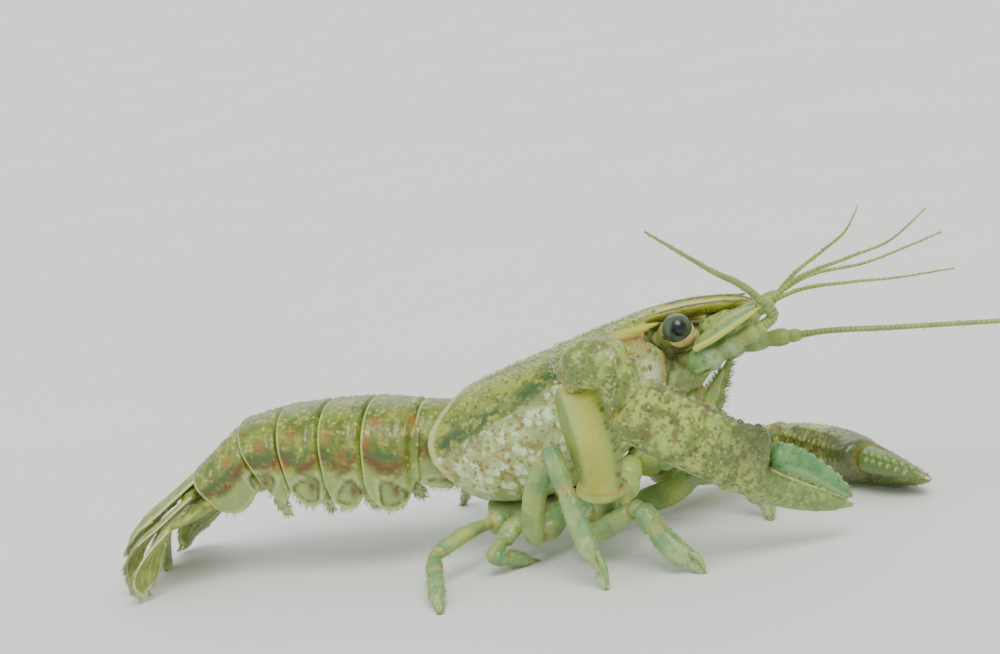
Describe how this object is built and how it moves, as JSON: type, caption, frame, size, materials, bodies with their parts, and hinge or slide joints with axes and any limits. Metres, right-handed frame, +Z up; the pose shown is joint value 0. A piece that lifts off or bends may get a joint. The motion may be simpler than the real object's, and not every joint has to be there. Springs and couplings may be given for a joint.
{
  "type": "seminole crayfish",
  "caption": "Life-size still model of a seminole crayfish standing with its head raised, claws reaching down and tail fan folded to the floor.",
  "frame": {"origin": "middle of the bounding box in plan, on the floor that the feet rest on", "axes": "+X towards the head, along the longest extent; +Y to the animal's left; +Z up"},
  "size_m": [0.124, 0.0452, 0.0354],
  "materials": {
    "carapace": "olive horn shell with beige gill covers, dark green side bands and pale mottling, satin",
    "abdomen": "olive-yellow horn plates with rust-brown spots along the sides, satin",
    "tail_fan": "thin yellow-olive horn plates, satin",
    "claw": "olive shell with brown and dark speckles, satin",
    "claw_finger": "emerald green horn, satin",
    "limb": "pale green, slightly translucent horn with orange joints",
    "feelers": "yellow-green horn, finely ringed",
    "eyestalk": "cream flesh, satin",
    "cornea": "glossy blue-black",
    "underside": "pale cream-green horn, satin"
  },
  "bodies": {
    "root": {"abdomen_1": "abdomen", "abdomen_2": "abdomen", "abdomen_3": "abdomen", "abdomen_4": "abdomen", "abdomen_5": "abdomen", "abdomen_6": "abdomen", "antenna_base_left": "feelers", "antenna_base_right": "feelers", "antenna_left": "feelers", "antenna_right": "feelers", "antennal_scale_left": "feelers", "antennal_scale_right": "feelers", "antennule_left": "feelers", "antennule_right": "feelers", "cheliped_left_carpus": "claw", "cheliped_left_finger": "claw_finger", "cheliped_left_hip": "limb", "cheliped_left_merus": "limb", "cheliped_left_palm": "claw", "cheliped_right_carpus": "claw", "cheliped_right_finger": "claw_finger", "cheliped_right_hip": "limb", "cheliped_right_merus": "limb", "cheliped_right_palm": "claw", "eye_left": "cornea", "eye_right": "cornea", "eyestalk_left": "eyestalk", "eyestalk_right": "eyestalk", "face_plate": "underside", "head": "carapace", "jaws": "underside", "leg_2_left_lower": "limb", "leg_2_left_upper": "limb", "leg_2_right_lower": "limb", "leg_2_right_upper": "limb", "leg_3_left_lower": "limb", "leg_3_left_upper": "limb", "leg_3_right_lower": "limb", "leg_3_right_upper": "limb", "leg_4_left_lower": "limb", "leg_4_left_upper": "limb", "leg_4_right_lower": "limb", "leg_4_right_upper": "limb", "leg_5_left_lower": "limb", "leg_5_left_upper": "limb", "leg_5_right_lower": "limb", "leg_5_right_upper": "limb", "maxilliped_left": "underside", "maxilliped_right": "underside", "sternum": "underside", "telson": "tail_fan", "thorax": "carapace", "uropod_left_base": "tail_fan", "uropod_left_inner": "tail_fan", "uropod_left_outer": "tail_fan", "uropod_right_base": "tail_fan", "uropod_right_inner": "tail_fan", "uropod_right_outer": "tail_fan"}
  },
  "joints": []
}
